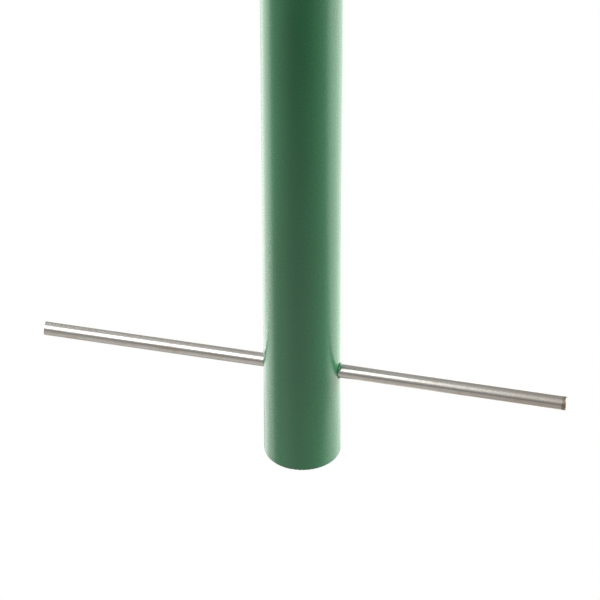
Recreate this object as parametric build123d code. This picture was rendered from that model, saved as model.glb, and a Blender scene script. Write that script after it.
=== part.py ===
"""A hand post driver, standing on its closed head with its open mouth upwards.

The head end of a plain tube holds a heavy steel weight. A loose round bar goes through the tube and
the weight and is the two-handed grip. In use the driver is turned over, its mouth is dropped over the
top of a post, and the bar is lifted and thrown down, so that the disc inside strikes the post.
A spring-loaded brass pad presses on the bar from below and keeps it centred. Its spring is adjusted
with a set screw that is reached through the head plate, under a rubber plug.

Millimetres. The origin is the middle of the head's flat face, +Z runs up to the mouth, and the bar
lies along X.
"""

from build123d import *
import math
import os

# Tube
tube_diameter = 88.9
tube_wall = 4.0
tube_length = 800.0
tube_rim_radius = 1.4  # rounding of the outer edge at both ends
mouth_chamfer = 1.0  # inner edge of the mouth
seat_relief = 0.55  # how much deeper the wall is bored where the weight sits
seat_clearance = 0.1  # radial play of the weight, the disc and the plate in that seat

# Cross bar
bar_diameter = 16.0
bar_length = 612.0
bar_height = 118.5  # of the bar's axis over the head's flat face
bar_end_chamfer = 1.0
bar_tube_clearance = 0.4  # radial, in the two holes of the tube
bar_weight_clearance = 0.08  # radial, in the bore of the weight
hole_edge_radius = 0.5

# Weight, strike disc and head plate
plate_thickness = 12.0
weld_leg = 4.0
weight_beyond_bar = 69.5  # from the bar's axis to the weight's inner face
weight_chamfer = 1.5
disc_thickness = 10.0
disc_chamfer = 0.8

# Bar brake, from the bar down to the set screw
brake_bore_diameter = 13.0
brake_bore_clearance = 0.15  # radial play of the pad and the washer
pad_clearance = 0.1  # between the pad's saddle and the bar
pad_grip = 2.5  # how far the saddle's lips rise past the bar's lowest line
pad_height = 10.0
spring_length = 14.0
spring_wire = 1.6
spring_turns = 5.0
spring_clearance = 0.6  # radial, from the coils to the bore
washer_thickness = 1.5
washer_hole_diameter = 5.0
screw_diameter = 16.0
screw_length = 20.0
screw_clearance = 0.15  # radial, stands for the thread's play
screw_forward_room = 3.5  # how much further in the screw could be turned
screw_chamfer = 1.2
socket_across_flats = 8.0
socket_depth = 8.0

# Plug in the head plate
access_clearance = 1.0  # radial, so that the set screw passes the plate
plug_flange_width = 3.0
plug_flange_thickness = 2.0
plug_recess = 0.5  # the plug stays this much above the flat face
plug_play = 0.2  # radial, stem and flange in the plate
plug_stem_gap = 0.7  # from the end of the stem to the weight
plug_wall = 3.0
plug_floor = 3.0

# Worked out from the above
tube_radius = tube_diameter / 2
bore_radius = tube_radius - tube_wall
seat_radius = bore_radius + seat_relief
seated_radius = seat_radius - seat_clearance
bar_radius = bar_diameter / 2
weight_low = plate_thickness
weight_high = bar_height + weight_beyond_bar
seat_depth = weight_high + disc_thickness
brake_bore_radius = brake_bore_diameter / 2
pad_high = bar_height - bar_radius + pad_grip
pad_low = bar_height - bar_radius - pad_height
spring_low = pad_low - spring_length
washer_low = spring_low - washer_thickness
screw_low = washer_low - screw_length
screw_bore_high = washer_low + screw_forward_room
screw_bore_radius = screw_diameter / 2 + screw_clearance
access_radius = screw_diameter / 2 + access_clearance
flange_radius = access_radius + plug_flange_width


def upright(radius, low, high):
    """A round solid about the tube's axis."""
    return Pos(0, 0, low) * Cylinder(radius, high - low, align=(Align.CENTER, Align.CENTER, Align.MIN))


def along_bar(radius, length):
    """A round solid about the bar's axis, centred on the tube."""
    return Pos(0, 0, bar_height) * Rot(0, 90, 0) * Cylinder(radius, length)


def rim(shape, radius, height):
    """The full circular edges of that radius at that height."""
    found = shape.edges().filter_by(GeomType.CIRCLE)
    return [e for e in found if abs(e.radius - radius) < 1e-3 and abs(e.center().Z - height) < 1e-3]


def driver_tube():
    """The tube, bored out at the head end so that a shoulder stops the strike disc."""
    tube = upright(tube_radius, 0, tube_length)
    tube -= upright(bore_radius, seat_depth, tube_length)
    tube -= upright(seat_radius, 0, seat_depth)
    edge_radius = min(tube_rim_radius, 0.45 * tube_wall)
    tube = fillet(rim(tube, tube_radius, 0) + rim(tube, tube_radius, tube_length), edge_radius)
    tube = chamfer(rim(tube, bore_radius, tube_length), min(mouth_chamfer, 0.45 * tube_wall))
    hole_radius = bar_radius + bar_tube_clearance
    tube -= along_bar(hole_radius, 2 * tube_diameter)
    mouths = [e for e in tube.edges() if abs(e.center().Z - bar_height) < hole_radius]
    outer = [e for e in mouths if max(abs(v.X) for v in e.vertices()) > seat_radius + tube_wall / 4]
    return fillet(outer, hole_edge_radius)


def head_plate():
    """The disc that closes the head, chamfered for its weld, with the set screw's access hole."""
    plate = upright(seated_radius, 0, plate_thickness)
    plate = chamfer(rim(plate, seated_radius, 0), weld_leg)
    plate -= upright(access_radius, 0, plate_thickness)
    return plate - upright(flange_radius, 0, plug_recess + plug_flange_thickness)


def head_weld_bead():
    """The weld between tube and plate, ground flush with the flat face."""
    section = Polyline(
        (seated_radius - weld_leg, 0),
        (seat_radius, 0),
        (seat_radius, weld_leg),
        (seated_radius, weld_leg),
        close=True,
    )
    return revolve(Plane.XZ * make_face(section), Axis.Z)


def head_weight():
    """The drop weight, cross-bored for the bar and bored along its axis for the brake."""
    weight = upright(seated_radius, weight_low, weight_high)
    ends = rim(weight, seated_radius, weight_low) + rim(weight, seated_radius, weight_high)
    weight = chamfer(ends, weight_chamfer)
    weight -= along_bar(bar_radius + bar_weight_clearance, tube_diameter)
    weight -= upright(brake_bore_radius, screw_bore_high, bar_height)
    return weight - upright(screw_bore_radius, weight_low, screw_bore_high)


def strike_disc():
    """The hardened disc that meets the post, held in by the tube's shoulder."""
    disc = upright(seated_radius, weight_high, seat_depth)
    ends = rim(disc, seated_radius, weight_high)
    return chamfer(ends, disc_chamfer)


def cross_bar():
    """The loose bar that is the grip on both sides."""
    bar = along_bar(bar_radius, bar_length)
    ends = bar.edges().filter_by(GeomType.CIRCLE)
    return chamfer(ends, bar_end_chamfer)


def brake_pad():
    """The brass pad with a saddle that fits the bar."""
    pad = upright(brake_bore_radius - brake_bore_clearance, pad_low, pad_high)
    return pad - along_bar(bar_radius + pad_clearance, 2 * brake_bore_diameter)


def brake_spring():
    """The coil spring under the pad."""
    coil_radius = brake_bore_radius - spring_clearance - spring_wire / 2
    rise = spring_length - spring_wire
    path = Pos(0, 0, spring_low + spring_wire / 2) * Helix(rise / spring_turns, rise, coil_radius)
    section = Plane(origin=path @ 0, z_dir=path % 0) * Circle(spring_wire / 2)
    return sweep(section, path=path, is_frenet=True)


def spring_seat_washer():
    """The washer between spring and set screw, so that the screw doesn't wind the spring up."""
    washer = upright(brake_bore_radius - brake_bore_clearance, washer_low, spring_low)
    return washer - upright(washer_hole_diameter / 2, washer_low, spring_low)


def brake_screw():
    """The set screw that loads the spring, with its hexagon socket towards the head plate."""
    radius = screw_bore_radius - screw_clearance
    screw = upright(radius, screw_low, washer_low)
    screw = chamfer(rim(screw, radius, screw_low) + rim(screw, radius, washer_low), screw_chamfer)
    corner_radius = socket_across_flats / 2 / math.cos(math.pi / 6)
    socket = extrude(RegularPolygon(corner_radius, 6), socket_depth)
    return screw - Pos(0, 0, screw_low) * socket


def dust_plug():
    """The rubber plug that keeps dirt out of the set screw's hole."""
    flange_high = plug_recess + plug_flange_thickness
    stem_high = plate_thickness - plug_stem_gap
    plug = upright(flange_radius - plug_play, plug_recess, flange_high)
    plug += upright(access_radius - plug_play, flange_high, stem_high)
    hollow = upright(access_radius - plug_play - plug_wall, plug_recess + plug_floor, stem_high)
    return plug - hollow


def main():
    os.makedirs("parts", exist_ok=True)
    makers = [
        driver_tube,
        head_plate,
        head_weld_bead,
        head_weight,
        strike_disc,
        cross_bar,
        brake_pad,
        brake_spring,
        spring_seat_washer,
        brake_screw,
        dust_plug,
    ]
    for maker in makers:
        export_step(maker(), f"parts/{maker.__name__}.step")


main()
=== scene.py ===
import math

import bpy
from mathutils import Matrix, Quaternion, Vector


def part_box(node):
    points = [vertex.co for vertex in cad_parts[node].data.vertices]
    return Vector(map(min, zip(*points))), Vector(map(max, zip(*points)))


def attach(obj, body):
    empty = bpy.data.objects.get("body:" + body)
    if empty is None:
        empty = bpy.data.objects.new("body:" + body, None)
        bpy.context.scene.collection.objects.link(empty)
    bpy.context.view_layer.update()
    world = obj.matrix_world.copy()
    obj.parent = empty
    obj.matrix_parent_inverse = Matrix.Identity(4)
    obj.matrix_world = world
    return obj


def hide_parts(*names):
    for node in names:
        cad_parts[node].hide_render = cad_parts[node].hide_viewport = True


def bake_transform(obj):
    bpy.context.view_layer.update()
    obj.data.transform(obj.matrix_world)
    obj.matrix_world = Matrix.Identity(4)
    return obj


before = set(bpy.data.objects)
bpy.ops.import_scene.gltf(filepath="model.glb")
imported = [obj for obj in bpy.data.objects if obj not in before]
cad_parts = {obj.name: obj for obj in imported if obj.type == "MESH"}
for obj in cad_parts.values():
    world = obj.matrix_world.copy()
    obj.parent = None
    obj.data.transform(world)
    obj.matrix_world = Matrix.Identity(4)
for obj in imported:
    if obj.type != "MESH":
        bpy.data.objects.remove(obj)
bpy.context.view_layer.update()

scene = bpy.context.scene

# ---------------------------------------------------------------- sizes, in metres, from the model

MM = 0.001
TUBE_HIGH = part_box("driver_tube")[1]
BAR_LOW, BAR_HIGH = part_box("cross_bar")
DISC_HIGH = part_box("strike_disc")[1]
SPRING_LOW, SPRING_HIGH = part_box("brake_spring")
SCREW_LOW, SCREW_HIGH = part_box("brake_screw")
TUBE_RADIUS = TUBE_HIGH.x
MOUTH = TUBE_HIGH.z
BORE_RADIUS = 40.45 * MM
BAR_RADIUS = (BAR_HIGH.z - BAR_LOW.z) / 2
BAR_AXIS = (BAR_HIGH.z + BAR_LOW.z) / 2
BAR_END = BAR_HIGH.x
HOLE_RADIUS = BAR_RADIUS + 0.4 * MM
HOLE_EDGE = 0.5 * MM
FULL_TURN = 2 * math.pi


# ---------------------------------------------------------------- node writing

class Wire:
    """One output of a node. Arithmetic on it adds Math nodes to the same graph."""

    def __init__(self, graph, socket):
        self.graph, self.socket = graph, socket

    def _maths(self, operation, *values):
        return self.graph.add("ShaderNodeMath", {"operation": operation}, dict(enumerate(values)))

    def __add__(self, other):
        return self._maths("ADD", self, other)

    def __sub__(self, other):
        return self._maths("SUBTRACT", self, other)

    def __rsub__(self, other):
        return self._maths("SUBTRACT", other, self)

    def __mul__(self, other):
        return self._maths("MULTIPLY", self, other)

    def __truediv__(self, other):
        return self._maths("DIVIDE", self, other)

    def __rtruediv__(self, other):
        return self._maths("DIVIDE", other, self)

    def __pow__(self, other):
        return self._maths("POWER", self, other)

    def __abs__(self):
        return self._maths("ABSOLUTE", self)

    __radd__ = __add__
    __rmul__ = __mul__

    def sine(self):
        return self._maths("SINE", self)

    def cosine(self):
        return self._maths("COSINE", self)

    def at_least(self, other):
        return self._maths("MAXIMUM", self, other)

    def angle_from(self, other):
        return self._maths("ARCTAN2", self, other)

    def ramp(self, low, high, start=0.0, end=1.0, soft=True):
        """Goes from start to end as this goes from low to high, and stays there."""
        return self.graph.add(
            "ShaderNodeMapRange",
            {"interpolation_type": "SMOOTHSTEP" if soft else "LINEAR", "clamp": True},
            {"Value": self, "From Min": low, "From Max": high, "To Min": start, "To Max": end})


class Graph:
    """A node tree that is written one node at a time."""

    def __init__(self, tree):
        self.tree = tree
        tree.nodes.clear()

    def add(self, kind, settings=None, sockets=None, output=0):
        """A node of a kind, with its settings, then the values or wires of its sockets."""
        node = self.tree.nodes.new(kind)
        for name, value in (settings or {}).items():
            if name == "stops":
                for position, _ in value[2:]:
                    node.color_ramp.elements.new(position)
                for stop, (position, colour) in zip(node.color_ramp.elements, value):
                    stop.position, stop.color = position, colour
            else:
                setattr(node, name, value)
        for name, value in (sockets or {}).items():
            if isinstance(value, Wire):
                self.tree.links.new(value.socket, node.inputs[name])
            else:
                node.inputs[name].default_value = value
        return Wire(self, node.outputs[output]) if len(node.outputs) else None

    def parts(self, vector):
        """The x, y and z of a vector."""
        node = self.add("ShaderNodeSeparateXYZ", None, {0: vector}).socket.node
        return [Wire(self, node.outputs[i]) for i in range(3)]

    def joined(self, x, y, z):
        return self.add("ShaderNodeCombineXYZ", None, {0: x, 1: y, 2: z})

    def mix(self, share, first, second):
        """A colour between two colours."""
        return self.add("ShaderNodeMix", {"data_type": "RGBA", "clamp_factor": True},
                        {0: share, 6: first, 7: second}, output=2)


def rgb(red, green, blue):
    return (red, green, blue, 1.0)


BLACK = rgb(0.0, 0.0, 0.0)
WHITE = rgb(1.0, 1.0, 1.0)


class Finish(Graph):
    """A finish that follows the place on the object, and ends in one Principled shader."""

    def __init__(self, name):
        self.material = bpy.data.materials.new(name)
        self.material.use_nodes = True
        super().__init__(self.material.node_tree)
        self.place = self.add("ShaderNodeTexCoord", None, None, output="Object")
        self.x, self.y, self.z = self.parts(self.place)

    def from_axis(self):
        """The distance from the tube's axis."""
        return (self.x * self.x + self.y * self.y) ** 0.5

    def about_axis(self):
        """The angle about the tube's axis."""
        return self.y.angle_from(self.x)

    def scaled(self, per_metre, shift, place):
        """A place in which one unit is one feature. A single number serves all three axes."""
        each = per_metre if isinstance(per_metre, tuple) else (per_metre,) * 3
        return self.add("ShaderNodeMapping", None,
                        {"Vector": place or self.place, "Location": shift, "Scale": each})

    def grain(self, per_metre, detail=2.0, rough=0.5, shift=(0.0, 0.0, 0.0), place=None):
        """Cloudy noise from 0 to 1, with so many features per metre along each axis."""
        return self.add("ShaderNodeTexNoise", {"noise_dimensions": "3D"}, {
            "Vector": self.scaled(per_metre, shift, place), "Scale": 1.0,
            "Detail": detail, "Roughness": rough})

    def cells(self, per_metre, shift=(0.0, 0.0, 0.0)):
        """The distance to the middle of the nearest cell."""
        return self.add("ShaderNodeTexVoronoi", {"feature": "F1"},
                        {"Vector": self.scaled(per_metre, shift, None), "Scale": 1.0})

    def bump(self, height, depth, under=None):
        """A normal from a height from 0 to 1 that stands for so many metres."""
        sockets = {"Strength": 1.0, "Distance": depth, "Height": height}
        if under is not None:
            sockets["Normal"] = under
        return self.add("ShaderNodeBump", None, sockets)

    def done(self, **sockets):
        named = {name.replace("_", " "): value for name, value in sockets.items()}
        shader = self.add("ShaderNodeBsdfPrincipled", None, named)
        self.add("ShaderNodeOutputMaterial", None, {"Surface": shader})
        return self.material


# ---------------------------------------------------------------- finishes

ENAMEL_IOR = 1.5


def green_paint():
    """Glossy moss-green enamel, worn through at the edges, rubbed away in the bore."""
    f = Finish("moss_green_enamel")
    deep_green, fresh_green = rgb(0.0082, 0.0640, 0.0235), rgb(0.0100, 0.0730, 0.0280)
    pale_speck = rgb(0.016, 0.090, 0.048)
    dark_scale, rusty_scale = rgb(0.030, 0.026, 0.024), rgb(0.085, 0.048, 0.028)
    scraped_steel = rgb(0.26, 0.245, 0.23)
    dark_steel, beaten_steel = rgb(0.120, 0.098, 0.080), rgb(0.215, 0.195, 0.175)

    clouds = f.grain((9, 9, 5), 3.0)
    specks = f.grain(900, 2.0, 0.6, (3, 1, 4))
    peel = f.grain((260, 260, 210), 1.5)
    enamel = f.mix(clouds.ramp(0.3, 0.7), deep_green, fresh_green)
    enamel = f.mix(specks.ramp(0.62, 0.75) * 0.12, enamel, pale_speck)

    # Edges where the paint is thin or gone: the foot's rim, the mouth and the bar's holes.
    ragged = f.grain(420, 3.0, 0.6, (7, 2, 5))
    rim = f.z.ramp(0.6 * MM, 1.9 * MM, 1.0, 0.0) * ragged.ramp(0.38, 0.56)
    lip = f.z.ramp(MOUTH - 5.5 * MM, MOUTH - 0.5 * MM)
    lip = (lip + ragged * 0.9).ramp(1.05, 1.2)
    from_bar = (f.y * f.y + (f.z - BAR_AXIS) ** 2.0) ** 0.5
    hole = from_bar.ramp(HOLE_RADIUS + 0.1 * MM, HOLE_RADIUS + HOLE_EDGE, 1.0, 0.0)
    worn = rim.at_least(lip).at_least(hole * ragged.ramp(0.3, 0.6))

    # The bore: overspray that thins out below the mouth, then dark scale with scraped streaks.
    mid_wall, blur = TUBE_RADIUS - 2.1 * MM, 0.5 * MM
    inside = f.from_axis().ramp(mid_wall - blur, mid_wall + blur, 1.0, 0.0)
    streaks = f.grain((380, 380, 9.0), 4.0, 0.65, (1, 8, 2))
    blotches = f.grain((60, 60, 25), 4.0, 0.6, (5, 5, 1))
    overspray = (f.z.ramp(MOUTH - 110 * MM, MOUTH - 15 * MM) + blotches * 0.7).ramp(0.62, 0.95)
    scraped = streaks.ramp(0.54, 0.68) * blotches.ramp(0.3, 0.6, 0.35, 1.0)
    bore = f.mix(overspray, f.mix(blotches.ramp(0.35, 0.7), dark_scale, rusty_scale), enamel)
    bore = f.mix(scraped * 0.8, bore, scraped_steel)

    battered = f.grain(1400, 3.0, 0.6, (2, 9, 4))
    steel = f.mix(battered.ramp(0.35, 0.65), dark_steel, beaten_steel)
    colour = f.mix(worn, f.mix(inside, enamel, bore), steel)
    gloss = 0.25 + clouds * 0.04 + specks.ramp(0.5, 0.8) * 0.03
    dull = (inside * 0.30).at_least(worn * 0.28)
    metal = (inside * scraped * 0.7).at_least(worn * 0.85)
    surface = f.bump(peel, 0.005 * MM)
    surface = f.bump(1 - worn * (0.8 + battered * 0.2), 0.05 * MM, surface)
    surface = f.bump(inside * (blotches * 0.5 + streaks * 0.5), 0.12 * MM, surface)
    return f.done(Base_Color=colour, Roughness=gloss + dull, Metallic=metal, Normal=surface,
                  IOR=ENAMEL_IOR, Specular_Tint=rgb(0.86, 1.0, 0.96))


def head_paint():
    """The same enamel on the ground weld and the plate, scuffed where the head stands."""
    f = Finish("head_enamel")
    deep_green, fresh_green = rgb(0.0050, 0.0570, 0.0245), rgb(0.0080, 0.0740, 0.0345)
    dark_steel, ground_steel = rgb(0.16, 0.145, 0.13), rgb(0.36, 0.34, 0.32)

    clouds = f.grain(20, 3.0)
    arcs = (f.grain((900, 90, 90), 2.0, 0.5) + f.grain((90, 700, 90), 2.0)) / 2
    scuffs = f.grain((160, 60, 160), 4.0, 0.65, (2, 6, 1))
    peel = f.grain(320, 2.0)
    weld = f.from_axis().ramp(36.2 * MM, 37.2 * MM)
    under = f.z.ramp(0.2 * MM, 0.8 * MM, 1.0, 0.0)
    worn = under * (scuffs + weld * 0.05).ramp(0.56, 0.64)
    enamel = f.mix(clouds.ramp(0.3, 0.7), deep_green, fresh_green)
    steel = f.mix(arcs.ramp(0.4, 0.6), dark_steel, ground_steel)
    surface = f.bump(arcs, 0.10 * MM)
    surface = f.bump(peel, 0.03 * MM, surface)
    surface = f.bump(1 - worn, 0.06 * MM, surface)
    return f.done(Base_Color=f.mix(worn, enamel, steel), Roughness=0.2 + worn * 0.2 + arcs * 0.08,
                  Metallic=worn * 0.85, Normal=surface, IOR=ENAMEL_IOR)


def drawn_steel():
    """Bare drawn round bar: streaks along it, handling stains, sawn ends, one of them scorched, and
    painted shade towards the +x end.
    """
    f = Finish("bare_drawn_steel")
    grey_steel, bright_steel = rgb(0.345, 0.332, 0.312), rgb(0.410, 0.400, 0.380)
    wiped_oil, brown_stain = rgb(0.30, 0.268, 0.236), rgb(0.27, 0.222, 0.178)
    # The second colour here is the brown of the painted shade towards the bar's +x end.
    pit_rust, painted_shade_brown = rgb(0.12, 0.09, 0.07), rgb(0.275, 0.245, 0.210)
    burnt = rgb(0.130, 0.092, 0.068)
    saw_groove, saw_ridge = rgb(0.36, 0.32, 0.28), rgb(0.50, 0.46, 0.42)

    fine = f.grain((14, 1500, 1500), 3.0, 0.6)
    broad = f.grain((7, 260, 260), 3.0, 0.55, (4, 1, 9))
    slant = f.add("ShaderNodeMapping", None, {"Vector": f.place, "Rotation": (0.0, 0.5, 0.35)})
    wiped = f.grain((30, 500, 500), 3.0, 0.6, (2, 2, 7), slant)
    patches = f.grain((22, 40, 40), 4.0, 0.6, (8, 3, 3))
    pits = f.cells(900, (1, 2, 3)).ramp(0.08, 0.20, 1.0, 0.0)
    pits = pits * patches.ramp(0.48, 0.62)

    steel = f.mix(broad.ramp(0.3, 0.7), grey_steel, bright_steel)
    steel = f.mix(wiped.ramp(0.45, 0.62) * 0.35, steel, wiped_oil)
    steel = f.mix(patches.ramp(0.52, 0.68) * 0.45, steel, brown_stain)
    steel = f.mix(pits * 0.5, steel, pit_rust)
    # Painted shade: the bar turns darker and browner along its +x half, from 120 mm out to 10 mm
    # short of the end.
    painted_shade_share = (f.x + (broad - 0.5) * (60.0 * MM)).ramp(120.0 * MM, BAR_END - 10.0 * MM) * 0.55
    steel = f.mix(painted_shade_share, steel, painted_shade_brown)
    scorch = (f.x + (patches - 0.5) * (3.0 * MM)).ramp(BAR_END - 6.0 * MM, BAR_END - 4.0 * MM)
    steel = f.mix(scorch * 0.75, steel, burnt)

    # The sawn end faces, with the blade's shallow arcs.
    face = abs(f.x).ramp(BAR_END - 0.15 * MM, BAR_END - 0.05 * MM)
    teeth_per_metre, bow_per_metre = 2600.0, 9.0
    arc_height = f.y + bow_per_metre * f.z * f.z + fine * (0.2 * MM)
    arcs = (arc_height * teeth_per_metre).sine() * 0.5 + 0.5
    colour = f.mix(face, steel, f.mix(arcs, saw_groove, saw_ridge))
    rough = 0.165 + fine * 0.06 + broad * 0.05 + patches.ramp(0.5, 0.7) * 0.07 + scorch * 0.15
    surface = f.bump(fine * 0.6 + wiped * 0.4, 0.010 * MM)
    surface = f.bump(1 - pits, 0.03 * MM, surface)
    surface = f.bump(arcs * face, 0.04 * MM, surface)
    return f.done(Base_Color=colour, Metallic=1.0, Roughness=rough + face * 0.15, Normal=surface)


def turned_steel():
    """The drop weight: turned mild steel with feed marks, oil stains and a bloom of rust."""
    f = Finish("turned_mild_steel")
    dark_feed, bright_feed = rgb(0.34, 0.325, 0.31), rgb(0.43, 0.415, 0.40)
    old_oil, rust = rgb(0.20, 0.185, 0.165), rgb(0.20, 0.085, 0.035)
    side_feed, face_feed, lead = 2600.0, 3600.0, 0.16

    along = (f.z * side_feed + f.about_axis() * lead).sine()
    across = (f.from_axis() * face_feed).sine()
    feed = (along + across) * 0.25 + 0.5
    bloom = f.grain(55, 4.0, 0.6)
    oil = f.grain(18, 2.0, 0.5, (4, 4, 4))
    rusted = bloom.ramp(0.58, 0.70)
    steel = f.mix(feed, dark_feed, bright_feed)
    steel = f.mix(oil.ramp(0.45, 0.65) * 0.5, steel, old_oil)
    colour = f.mix(rusted * 0.7, steel, rust)
    surface = f.bump(feed, 0.012 * MM)
    surface = f.bump(bloom, 0.03 * MM, surface)
    return f.done(Base_Color=colour, Metallic=1.0 - rusted * 0.6,
                  Roughness=0.30 + bloom.ramp(0.5, 0.7) * 0.35, Normal=surface)


def hardened_steel():
    """The strike disc: quench-dark steel, beaten bright and dented where posts meet it."""
    f = Finish("hardened_strike_steel")
    quench_black, quench_brown = rgb(0.050, 0.047, 0.050), rgb(0.10, 0.078, 0.062)
    dent_floor, dent_edge = rgb(0.42, 0.40, 0.38), rgb(0.27, 0.25, 0.235)

    dents = f.cells((160, 160, 40)).ramp(0.05, 0.55)
    small = f.cells((420, 420, 60), (3, 3, 3)).ramp(0.05, 0.45)
    grit = f.grain(300, 4.0, 0.6)
    struck = (f.from_axis() + grit * (12.0 * MM)).ramp(24.0 * MM, 40.0 * MM, 1.0, 0.0)
    dark = f.mix(grit.ramp(0.35, 0.65), quench_black, quench_brown)
    bright = f.mix(dents, dent_floor, dent_edge)
    surface = f.bump(dents * 0.7 + small * 0.3, 0.35 * MM)
    surface = f.bump(grit, 0.03 * MM, surface)
    return f.done(Base_Color=f.mix(struck * 0.8, dark, bright), Metallic=0.55 + struck * 0.4,
                  Roughness=0.52 - struck * 0.20, Normal=surface)


def pad_brass():
    """The brake pad: machined brass, dulled, with bright rub marks along the bar."""
    f = Finish("machined_brass")
    fresh_brass, dull_brass = rgb(0.62, 0.42, 0.16), rgb(0.42, 0.255, 0.095)
    rubbed_brass = rgb(0.74, 0.55, 0.26)

    rub = f.grain((40, 1500, 300), 3.0, 0.6)
    dull = f.grain(220, 3.0, 0.6, (2, 1, 0))
    saddle = f.z.ramp(109.0 * MM, 111.5 * MM)
    brass = f.mix(dull.ramp(0.35, 0.65), fresh_brass, dull_brass)
    brass = f.mix(saddle * rub.ramp(0.4, 0.6), brass, rubbed_brass)
    return f.done(Base_Color=brass, Metallic=1.0, Roughness=0.24 + dull * 0.2,
                  Normal=f.bump(rub, 0.01 * MM))


def spring_wire():
    """Oiled music wire, blue-grey, with die lines and a little brown oil."""
    f = Finish("oiled_spring_wire")
    blue_grey, light_grey = rgb(0.20, 0.205, 0.215), rgb(0.30, 0.30, 0.31)
    brown_oil = rgb(0.16, 0.10, 0.055)

    lines = f.grain((900, 900, 3200), 2.0, 0.6)
    oil = f.grain(260, 3.0, 0.5, (6, 1, 1))
    wire = f.mix(lines.ramp(0.35, 0.65), blue_grey, light_grey)
    wire = f.mix(oil.ramp(0.5, 0.66) * 0.6, wire, brown_oil)
    return f.done(Base_Color=wire, Metallic=1.0, Roughness=0.25 + oil * 0.15,
                  Normal=f.bump(lines, 0.008 * MM))


def zinc_plate():
    """Bright zinc with a faint yellow and blue passivated bloom."""
    f = Finish("bright_zinc")
    bluish, yellowish, neutral = rgb(0.60, 0.63, 0.68), rgb(0.70, 0.64, 0.50), rgb(0.66, 0.66, 0.65)

    bloom = f.grain(190, 2.0, 0.5)
    spangle = f.cells(1500)
    tint = f.add("ShaderNodeValToRGB",
                 {"stops": [(0.30, bluish), (0.70, yellowish), (0.70, neutral)]}, {"Fac": bloom})
    return f.done(Base_Color=tint, Metallic=1.0, Roughness=0.24 + spangle * 0.2,
                  Normal=f.bump(spangle, 0.006 * MM))


def black_oxide():
    """The set screw: blackened steel, bright on the thread's crests and in the key's socket."""
    f = Finish("blackened_steel")
    oxide_black, oxide_grey = rgb(0.014, 0.014, 0.016), rgb(0.040, 0.037, 0.036)
    rubbed_steel = rgb(0.32, 0.31, 0.30)

    radius = f.from_axis()
    crest = radius.ramp(SCREW_HIGH.x - 0.35 * MM, SCREW_HIGH.x - 0.05 * MM)
    grit = f.grain(700, 3.0, 0.6)
    keyed = radius.ramp(3.6 * MM, 4.4 * MM) * radius.ramp(4.6 * MM, 5.2 * MM, 1.0, 0.0)
    bright = (crest * 0.8).at_least(keyed * 0.6) * grit.ramp(0.4, 0.6)
    colour = f.mix(bright, f.mix(grit, oxide_black, oxide_grey), rubbed_steel)
    return f.done(Base_Color=colour, Metallic=0.4 + bright * 0.6, Roughness=0.36 + grit * 0.14,
                  Normal=f.bump(grit, 0.012 * MM))


def plug_rubber():
    """Matt moulded rubber with a fine spark-eroded skin, scuffs and dust."""
    f = Finish("black_rubber")
    clean_rubber, dusty_rubber = rgb(0.012, 0.012, 0.013), rgb(0.045, 0.042, 0.038)
    scuffed_rubber = rgb(0.085, 0.080, 0.072)

    skin = f.grain(1700, 2.0, 0.6)
    dust = f.grain(120, 4.0, 0.6, (1, 5, 1))
    scuffed = f.z.ramp(0.6 * MM, 1.0 * MM, 1.0, 0.0) * dust.ramp(0.45, 0.65)
    colour = f.mix(dust.ramp(0.4, 0.75) * 0.5, clean_rubber, dusty_rubber)
    colour = f.mix(scuffed * 0.5, colour, scuffed_rubber)
    return f.done(Base_Color=colour, Roughness=0.62 + skin * 0.2, Normal=f.bump(skin, 0.03 * MM))


PAINT = green_paint()
HEAD_PAINT = head_paint()
FINISHES = {
    "driver_tube": PAINT, "head_plate": HEAD_PAINT, "head_weld_bead": HEAD_PAINT,
    "cross_bar": drawn_steel(), "head_weight": turned_steel(), "strike_disc": hardened_steel(),
    "brake_pad": pad_brass(), "spring_seat_washer": zinc_plate(), "dust_plug": plug_rubber(),
}
for node_name, finish in FINISHES.items():
    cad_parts[node_name].material_slots[0].material = finish


# ---------------------------------------------------------------- shapes that follow a path

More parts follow.
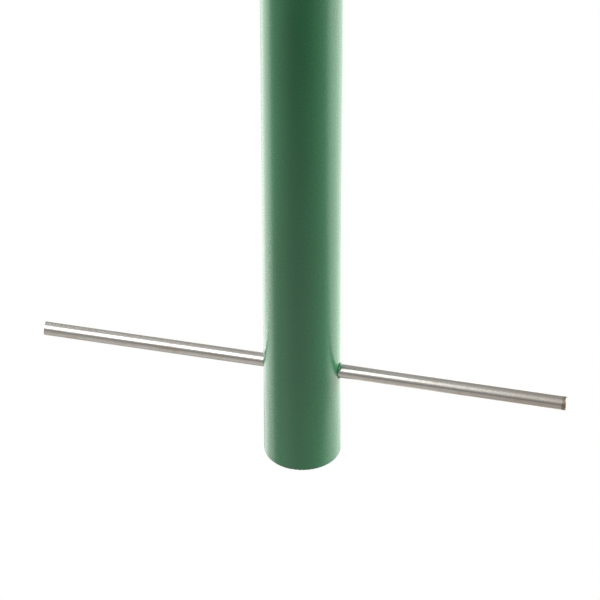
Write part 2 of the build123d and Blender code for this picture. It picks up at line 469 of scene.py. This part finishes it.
class Growth(Graph):
    """A geometry tree with named inputs. It ends in Realize Instances and Set Material."""

    KINDS = {float: "NodeSocketFloat", int: "NodeSocketInt"}

    def __init__(self, name, **inputs):
        tree = bpy.data.node_groups.new(name, "GeometryNodeTree")
        super().__init__(tree)
        face = tree.interface
        face.new_socket("Geometry", in_out="OUTPUT", socket_type="NodeSocketGeometry")
        self.names = {}
        for key, value in inputs.items():
            made = face.new_socket(key.replace("_", " "), in_out="INPUT",
                                   socket_type=self.KINDS[type(value)])
            made.default_value = value
            self.names[key] = made.identifier
        made = face.new_socket("Finish", in_out="INPUT", socket_type="NodeSocketMaterial")
        self.names["Finish"] = made.identifier
        entry = tree.nodes.new("NodeGroupInput")
        self.given = {key: Wire(self, entry.outputs[i]) for i, key in enumerate(self.names)}

    def straight(self, start, end, count):
        """A straight line, cut into so many points."""
        line = self.add("GeometryNodeCurvePrimitiveLine", None, {"Start": start, "End": end})
        return self.add("GeometryNodeResampleCurve", None, {"Curve": line, "Count": count})

    def moved(self, line, x, y, z):
        return self.add("GeometryNodeSetPosition", None,
                        {"Geometry": line, "Position": self.joined(x, y, z)})

    def swept(self, line, thickness, sides):
        """A round rod along a line, closed at its ends, as thick as it is told at each point."""
        outline = self.add("GeometryNodeCurvePrimitiveCircle", None,
                           {"Resolution": sides, "Radius": 1.0})
        return self.add("GeometryNodeCurveToMesh", None, {
            "Curve": line, "Profile Curve": outline, "Scale": thickness, "Fill Caps": True})

    def close(self, mesh):
        smooth = self.add("GeometryNodeSetShadeSmooth", None,
                          {"Geometry": mesh, "Shade Smooth": True})
        plain = self.add("GeometryNodeRealizeInstances", None, {"Geometry": smooth})
        ended = self.add("GeometryNodeSetMaterial", None,
                         {"Geometry": plain, "Material": self.given["Finish"]})
        self.add("NodeGroupOutput", None, {0: ended})

    def make(self, name, finish, **sizes):
        """A plain mesh object, at the origin, grown with these sizes."""
        carrier = bpy.data.objects.new(name, bpy.data.meshes.new(name))
        scene.collection.objects.link(carrier)
        growing = carrier.modifiers.new("Growth", "NODES")
        growing.node_group = self.tree
        for key, value in {**sizes, "Finish": finish}.items():
            growing[self.names[key]] = value
        depsgraph = bpy.context.evaluated_depsgraph_get()
        grown = carrier.evaluated_get(depsgraph)
        mesh = bpy.data.meshes.new_from_object(grown, depsgraph=depsgraph)
        carrier.modifiers.remove(growing)
        carrier.data = mesh
        mesh.name = name
        return carrier


def hole_lip_growth():
    """The ragged ridge of paint round the edge of a hole, on the tube's round wall."""
    g = Growth("hole_lip", Side=1.0, Ring_Radius=HOLE_RADIUS + 0.9 * MM, Wall_Radius=TUBE_RADIUS,
               Height=BAR_AXIS, Thickness=0.26 * MM, Lump=0.0, Seed=1)
    points, sides = 160, 10
    lump_turn, lump_reach = 2.15, 1.0
    ring_radius, lump = g.given["Ring_Radius"], g.given["Lump"]

    # The angle comes from the point's number, as the thickness is read after the ring has moved.
    ring = g.add("GeometryNodeCurvePrimitiveCircle", None,
                 {"Resolution": points, "Radius": ring_radius})
    turn = g.add("GeometryNodeInputIndex") * (FULL_TURN / points)
    across, up = turn.cosine() * ring_radius, turn.sine() * ring_radius
    wander = g.add("ShaderNodeTexNoise", {"noise_dimensions": "4D"}, {
        "Vector": g.joined(across, up, 0.0), "W": g.given["Seed"] * 3.7, "Scale": 520.0,
        "Detail": 3.0, "Roughness": 0.6})
    ragged = wander.ramp(0.30, 0.70)
    top = abs(turn - lump_turn).ramp(0.10, lump_reach, 1.0, 0.0)
    share = 0.25 + 1.7 * ragged + lump * top * (0.45 + 0.85 * ragged)
    reach = 1.0 + (wander - 0.5) * 0.06 + top * lump * 0.028
    y, lift = across * reach, up * reach
    wall = (g.given["Wall_Radius"] ** 2.0 - y * y) ** 0.5
    ring = g.moved(ring, g.given["Side"] * wall, y, g.given["Height"] + lift)
    g.close(g.swept(ring, g.given["Thickness"] * share, sides))
    return g


def seam_flash_growth():
    """The thin uneven bead that the tube's long seam leaves inside the bore."""
    g = Growth("seam_flash", Bore_Radius=BORE_RADIUS, Turn=1.15, Low=DISC_HIGH.z + 2 * MM,
               High=MOUTH - 2.0 * MM, Thickness=0.55 * MM, Points=420, Seed=2)
    waves_per_metre, sides = 90.0, 8

    line = g.straight(g.joined(0.0, 0.0, g.given["Low"]), g.joined(0.0, 0.0, g.given["High"]),
                      g.given["Points"])
    height = g.parts(g.add("GeometryNodeInputPosition"))[2]
    wander = g.add("ShaderNodeTexNoise", {"noise_dimensions": "1D"}, {
        "W": height * waves_per_metre + g.given["Seed"] * 5.1, "Scale": 1.0, "Detail": 4.0})
    turn = g.given["Turn"] + (wander - 0.5) * 0.012
    out = g.given["Bore_Radius"] + 0.2 * MM
    line = g.moved(line, turn.cosine() * out, turn.sine() * out, height)
    g.close(g.swept(line, g.given["Thickness"] * (0.7 + 0.6 * wander), sides))
    return g


def spring_growth():
    """A stretch of a compression spring with a closed coil at each end."""
    wire_radius, sides = 0.8 * MM, 14
    g = Growth("brake_coil", Coil_Radius=SPRING_HIGH.x - wire_radius, Wire_Radius=wire_radius,
               Turns=5.0, Low=SPRING_LOW.z, High=SPRING_HIGH.z, Begin=0.0, End=1.0, Points=140)
    low, turns, begin = g.given["Low"], g.given["Turns"], g.given["Begin"]
    radius, wire = g.given["Coil_Radius"], g.given["Wire_Radius"] * 2.0

    line = g.straight((0.0, 0.0, 0.0), (0.0, 0.0, 1.0), g.given["Points"])
    along = g.parts(g.add("GeometryNodeInputPosition"))[2]
    made = (begin + along * (g.given["End"] - begin)) * turns
    turn = made * FULL_TURN
    closed = made.ramp(0.0, 1.0, soft=False) + (made - turns).ramp(-1.0, 0.0, soft=False)
    free = ((made - 1.0) / (turns - 2.0)).ramp(0.0, 1.0, soft=False)
    room = g.given["High"] - low - wire * 3.0
    height = low + wire * 0.5 + closed * wire + free * room
    line = g.moved(line, turn.cosine() * radius, turn.sine() * radius, height)
    g.close(g.swept(line, g.given["Wire_Radius"], sides))
    return g


def rides(piece, body):
    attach(piece, body)
    return piece


lips = hole_lip_growth()
rides(lips.make("hole_lip_right", PAINT, Side=1.0, Lump=7.5, Seed=1), "driver")
rides(lips.make("hole_lip_left", PAINT, Side=-1.0, Lump=0.3, Seed=4), "driver")
rides(seam_flash_growth().make("seam_flash", PAINT), "driver")

# The spring reaches from the washer to the pad, made as two halves.
coil = spring_growth()
wire_finish = spring_wire()
lower = coil.make("brake_spring_lower", wire_finish, Begin=0.0, End=0.5)
upper = coil.make("brake_spring_upper", wire_finish, Begin=0.5, End=1.0)
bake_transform(lower)
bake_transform(upper)
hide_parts("brake_spring")


# ---------------------------------------------------------------- the set screw

def threaded_screw():
    """A set screw with a real helical thread, a hexagon socket below and a cup point above."""
    sides, steps_per_turn = 72, 8
    pitch, depth, flank, crest_flat = 2.0 * MM, 1.1 * MM, 1.35, 0.18
    radius, low, high = SCREW_HIGH.x, SCREW_LOW.z, SCREW_HIGH.z
    chamfer, flats, lead_in = 1.2 * MM, 8.0 * MM, 0.3 * MM
    socket_depth, drill_cone = 8.0 * MM, 1.2 * MM
    point_radius, cup_radius, cup_step, cup_depth = 4.0 * MM, 2.5 * MM, 0.9 * MM, 1.4 * MM
    turns = [FULL_TURN * i / sides for i in range(sides)]

    def circle(r, z):
        return [(r * math.cos(a), r * math.sin(a), z) for a in turns]

    def hexagon(r, z):
        sector = math.pi / 3
        reach = [r / math.cos((a % sector) - sector / 2) for a in turns]
        return [(d * math.cos(a), d * math.sin(a), z) for d, a in zip(reach, turns)]

    def threaded(z):
        ring = []
        for a in turns:
            phase = (z / pitch - a / FULL_TURN) % 1.0
            cut = min(1.0, max(0.0, flank * (1 - abs(2 * phase - 1)) - crest_flat))
            end = min(z - low, high - z)
            r = min(radius - depth * cut, radius - chamfer + end)
            ring.append((r * math.cos(a), r * math.sin(a), z))
        return ring

    rings = [hexagon(flats / 2, low + socket_depth), hexagon(flats / 2, low + lead_in),
             hexagon(flats / 2 + lead_in, low), circle(radius - chamfer, low)]
    steps = round((high - low) / (pitch / steps_per_turn))
    rings += [threaded(low + (high - low) * i / steps) for i in range(1, steps)]
    rings += [circle(radius - chamfer, high), circle(point_radius, high),
              circle(cup_radius, high - cup_step)]
    points = [(0.0, 0.0, low + socket_depth + drill_cone)]
    points += [point for ring in rings for point in ring]
    points.append((0.0, 0.0, high - cup_depth))
    last = len(points) - 1
    top = last - sides
    faces = []
    for i in range(sides):
        j = (i + 1) % sides
        faces.append((0, 1 + j, 1 + i))
        for k in range(len(rings) - 1):
            a, b = 1 + k * sides, 1 + (k + 1) * sides
            faces.append((a + i, a + j, b + j, b + i))
        faces.append((top + i, top + j, last))
    mesh = bpy.data.meshes.new("set_screw")
    mesh.from_pydata(points, [], faces)
    mesh.materials.append(black_oxide())
    piece = bpy.data.objects.new("set_screw", mesh)
    scene.collection.objects.link(piece)
    return piece


screw = rides(threaded_screw(), "screw")
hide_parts("brake_screw")


# ---------------------------------------------------------------- floor, light and camera

CAMERA_TURN = math.radians(13.69)
CAMERA_RISE = math.radians(36.32)
CAMERA_ROLL = -0.0026
CAMERA_DISTANCE = 4.206
CAMERA_AIM = Vector((-0.0023, -0.0006, 0.2108))
CAMERA_LENS = 224.3
SENSOR_WIDTH = 36.0

FLOOR_HALF = 30.0
FLOOR_LEVEL = -0.2 * MM
FLOOR_LIGHT = 0.86
FLOOR_PEAK = 3.0        # more than any place on it gives
FLOOR_TINT = (1.0, 0.965, 0.92)
MIRROR_LEAN = 50.0      # degrees, at one tube radius from the axis


def toward(turn, rise):
    """The direction at an angle from -Y towards +X, and an angle above the floor."""
    return Vector((math.sin(turn) * math.cos(rise), -math.cos(turn) * math.cos(rise),
                   math.sin(rise)))


def placed(name, data, location, look, roll=0.0):
    """An object whose -Z looks along a direction, as cameras and lights do."""
    thing = bpy.data.objects.new(name, data)
    scene.collection.objects.link(thing)
    thing.location = location
    thing.rotation_mode = "QUATERNION"
    thing.rotation_quaternion = look.to_track_quat("-Z", "Y") @ Quaternion((0, 0, 1), roll)
    return thing


def add_camera():
    camera = bpy.data.cameras.new("camera")
    camera.lens, camera.sensor_width = CAMERA_LENS, SENSOR_WIDTH
    camera.clip_start, camera.clip_end = 0.1, 100.0
    back = toward(CAMERA_TURN, CAMERA_RISE)
    place = CAMERA_AIM + back * CAMERA_DISTANCE
    scene.camera = placed("camera", camera, place, -back, CAMERA_ROLL)


def floor_light(g):
    """How brightly each place on the floor shines into mirrors. Angles here are in degrees."""
    x, y, _ = g.parts(g.add("ShaderNodeTexCoord", None, None, output="Object"))
    ahead = toward(CAMERA_TURN, 0.0)
    near = x * ahead.x + y * ahead.y
    right = x * -ahead.y + y * ahead.x
    away = (x * x + y * y) ** 0.5
    side = right.angle_from(near) * (180 / math.pi)
    turn = abs(side)
    # The direction of the mirrored line of sight that ends here. It starts on the tube's wall and
    # not on its axis, which matters most close to the tube.
    met = turn + TUBE_RADIUS / away * MIRROR_LEAN

    # Dimmer in front, from a little way off.
    dimming = away.ramp(0.40, 0.92, soft=False) * turn.ramp(5.0, 80.0, 0.70, 0.10)
    # Brighter at the right and behind, but not under the bar, whose underside would show it.
    clear_of_bar = y.ramp(0.0, 0.04).at_least(away.ramp(0.12, 0.17, 1.0, 0.0))
    glow_right = clear_of_bar * met.ramp(64.0, 92.0) * met.ramp(124.0, 152.0, 0.95, 1.75)
    glow_left = turn.ramp(128.0, 146.0)
    on_right = side.ramp(-1.0, 1.0)
    glow = on_right * glow_right + (1.0 - on_right) * glow_left
    # Weaker straight behind the tube, close to it and far from it.
    glow = glow * met.ramp(164.0, 178.0, 1.0, 0.0)
    glow = glow * away.ramp(0.05, 0.17, 0.55, 1.0) * away.ramp(0.5, 0.9, 1.0, 0.82)
    return FLOOR_LIGHT - dimming + glow


def add_floor():
    """A wide lit table: even white to look at, and uneven in what it gives to reflections."""
    corners = [(x * FLOOR_HALF, y * FLOOR_HALF, FLOOR_LEVEL)
               for x, y in ((-1, -1), (1, -1), (1, 1), (-1, 1))]
    mesh = bpy.data.meshes.new("floor")
    mesh.from_pydata(corners, [], [(0, 1, 2, 3)])
    floor = bpy.data.objects.new("floor", mesh)
    scene.collection.objects.link(floor)
    material = bpy.data.materials.new("lit_table")
    material.use_nodes = True
    g = Graph(material.node_tree)
    brightest = rgb(*(FLOOR_PEAK * part for part in FLOOR_TINT))
    glowing = g.mix(floor_light(g) / FLOOR_PEAK, BLACK, brightest)
    lit = g.add("ShaderNodeBsdfPrincipled", None, {
        "Base Color": BLACK, "Roughness": 0.2, "IOR": 1.65,
        "Emission Color": glowing, "Emission Strength": 1.0})
    white = g.add("ShaderNodeEmission", None, {"Color": WHITE, "Strength": 1.0})
    seen = g.add("ShaderNodeLightPath", None, None, output="Is Camera Ray")
    shader = g.add("ShaderNodeMixShader", None, {0: seen, 1: lit, 2: white})
    g.add("ShaderNodeOutputMaterial", None, {"Surface": shader})
    mesh.materials.append(material)


def add_room():
    """A pale room, white to look at. It shines most high in front, less behind and low down."""
    world = bpy.data.worlds.new("studio")
    scene.world = world
    world.use_nodes = True
    g = Graph(world.node_tree)
    _, y, rise = g.parts(g.add("ShaderNodeTexCoord", None, None, output="Generated"))
    front = (y * -1.0).ramp(-0.1, 0.8)
    low = rise.ramp(0.10, 0.60, 1.0, 0.0)
    light = y.ramp(-0.3, 0.7, 1.20, 0.75) - front * low * 0.62
    seen = g.add("ShaderNodeLightPath", None, None, output="Is Camera Ray")
    light = light + (1.0 - light) * seen
    shader = g.add("ShaderNodeBackground", None, {"Color": WHITE, "Strength": light})
    g.add("ShaderNodeOutputWorld", None, {"Surface": shader})


def add_softbox(name, centre, aim, width, height, radiance, mirrored=True):
    """A rectangular light that gives this radiance. Shiny surfaces show it only if mirrored."""
    light = bpy.data.lights.new(name, "AREA")
    light.shape, light.size, light.size_y = "RECTANGLE", width, height
    light.energy = radiance * math.pi * width * height
    box = placed(name, light, centre, Vector(aim) - Vector(centre))
    box.visible_camera = False
    box.visible_glossy = mirrored


# Name, degrees to the right of the camera and above the floor, distance, width, height, radiance
# and whether it is mirrored.
ROUND_THE_TUBE = (
    ("right_softbox", 108.0, 28.0, 2.3, 2.4, 1.7, 10.0, True),
    ("right_fill", 98.0, 4.0, 1.0, 1.0, 0.3, 22.0, False),
    ("left_softbox", -123.0, 28.0, 2.3, 2.0, 1.7, 21.0, True),
)

add_camera()
add_floor()
add_room()
add_softbox("key_softbox", (-0.85, -1.12, 1.77), (-0.85, 0.0, 0.118), 1.24, 1.48, 4.0)
for name, turn, rise, distance, width, height, radiance, mirrored in ROUND_THE_TUBE:
    centre = toward(CAMERA_TURN + math.radians(turn), math.radians(rise)) * distance
    add_softbox(name, centre, (0.0, 0.0, 0.1), width, height, radiance, mirrored)
scene.view_settings.view_transform = "Standard"
scene.view_settings.look = "None"
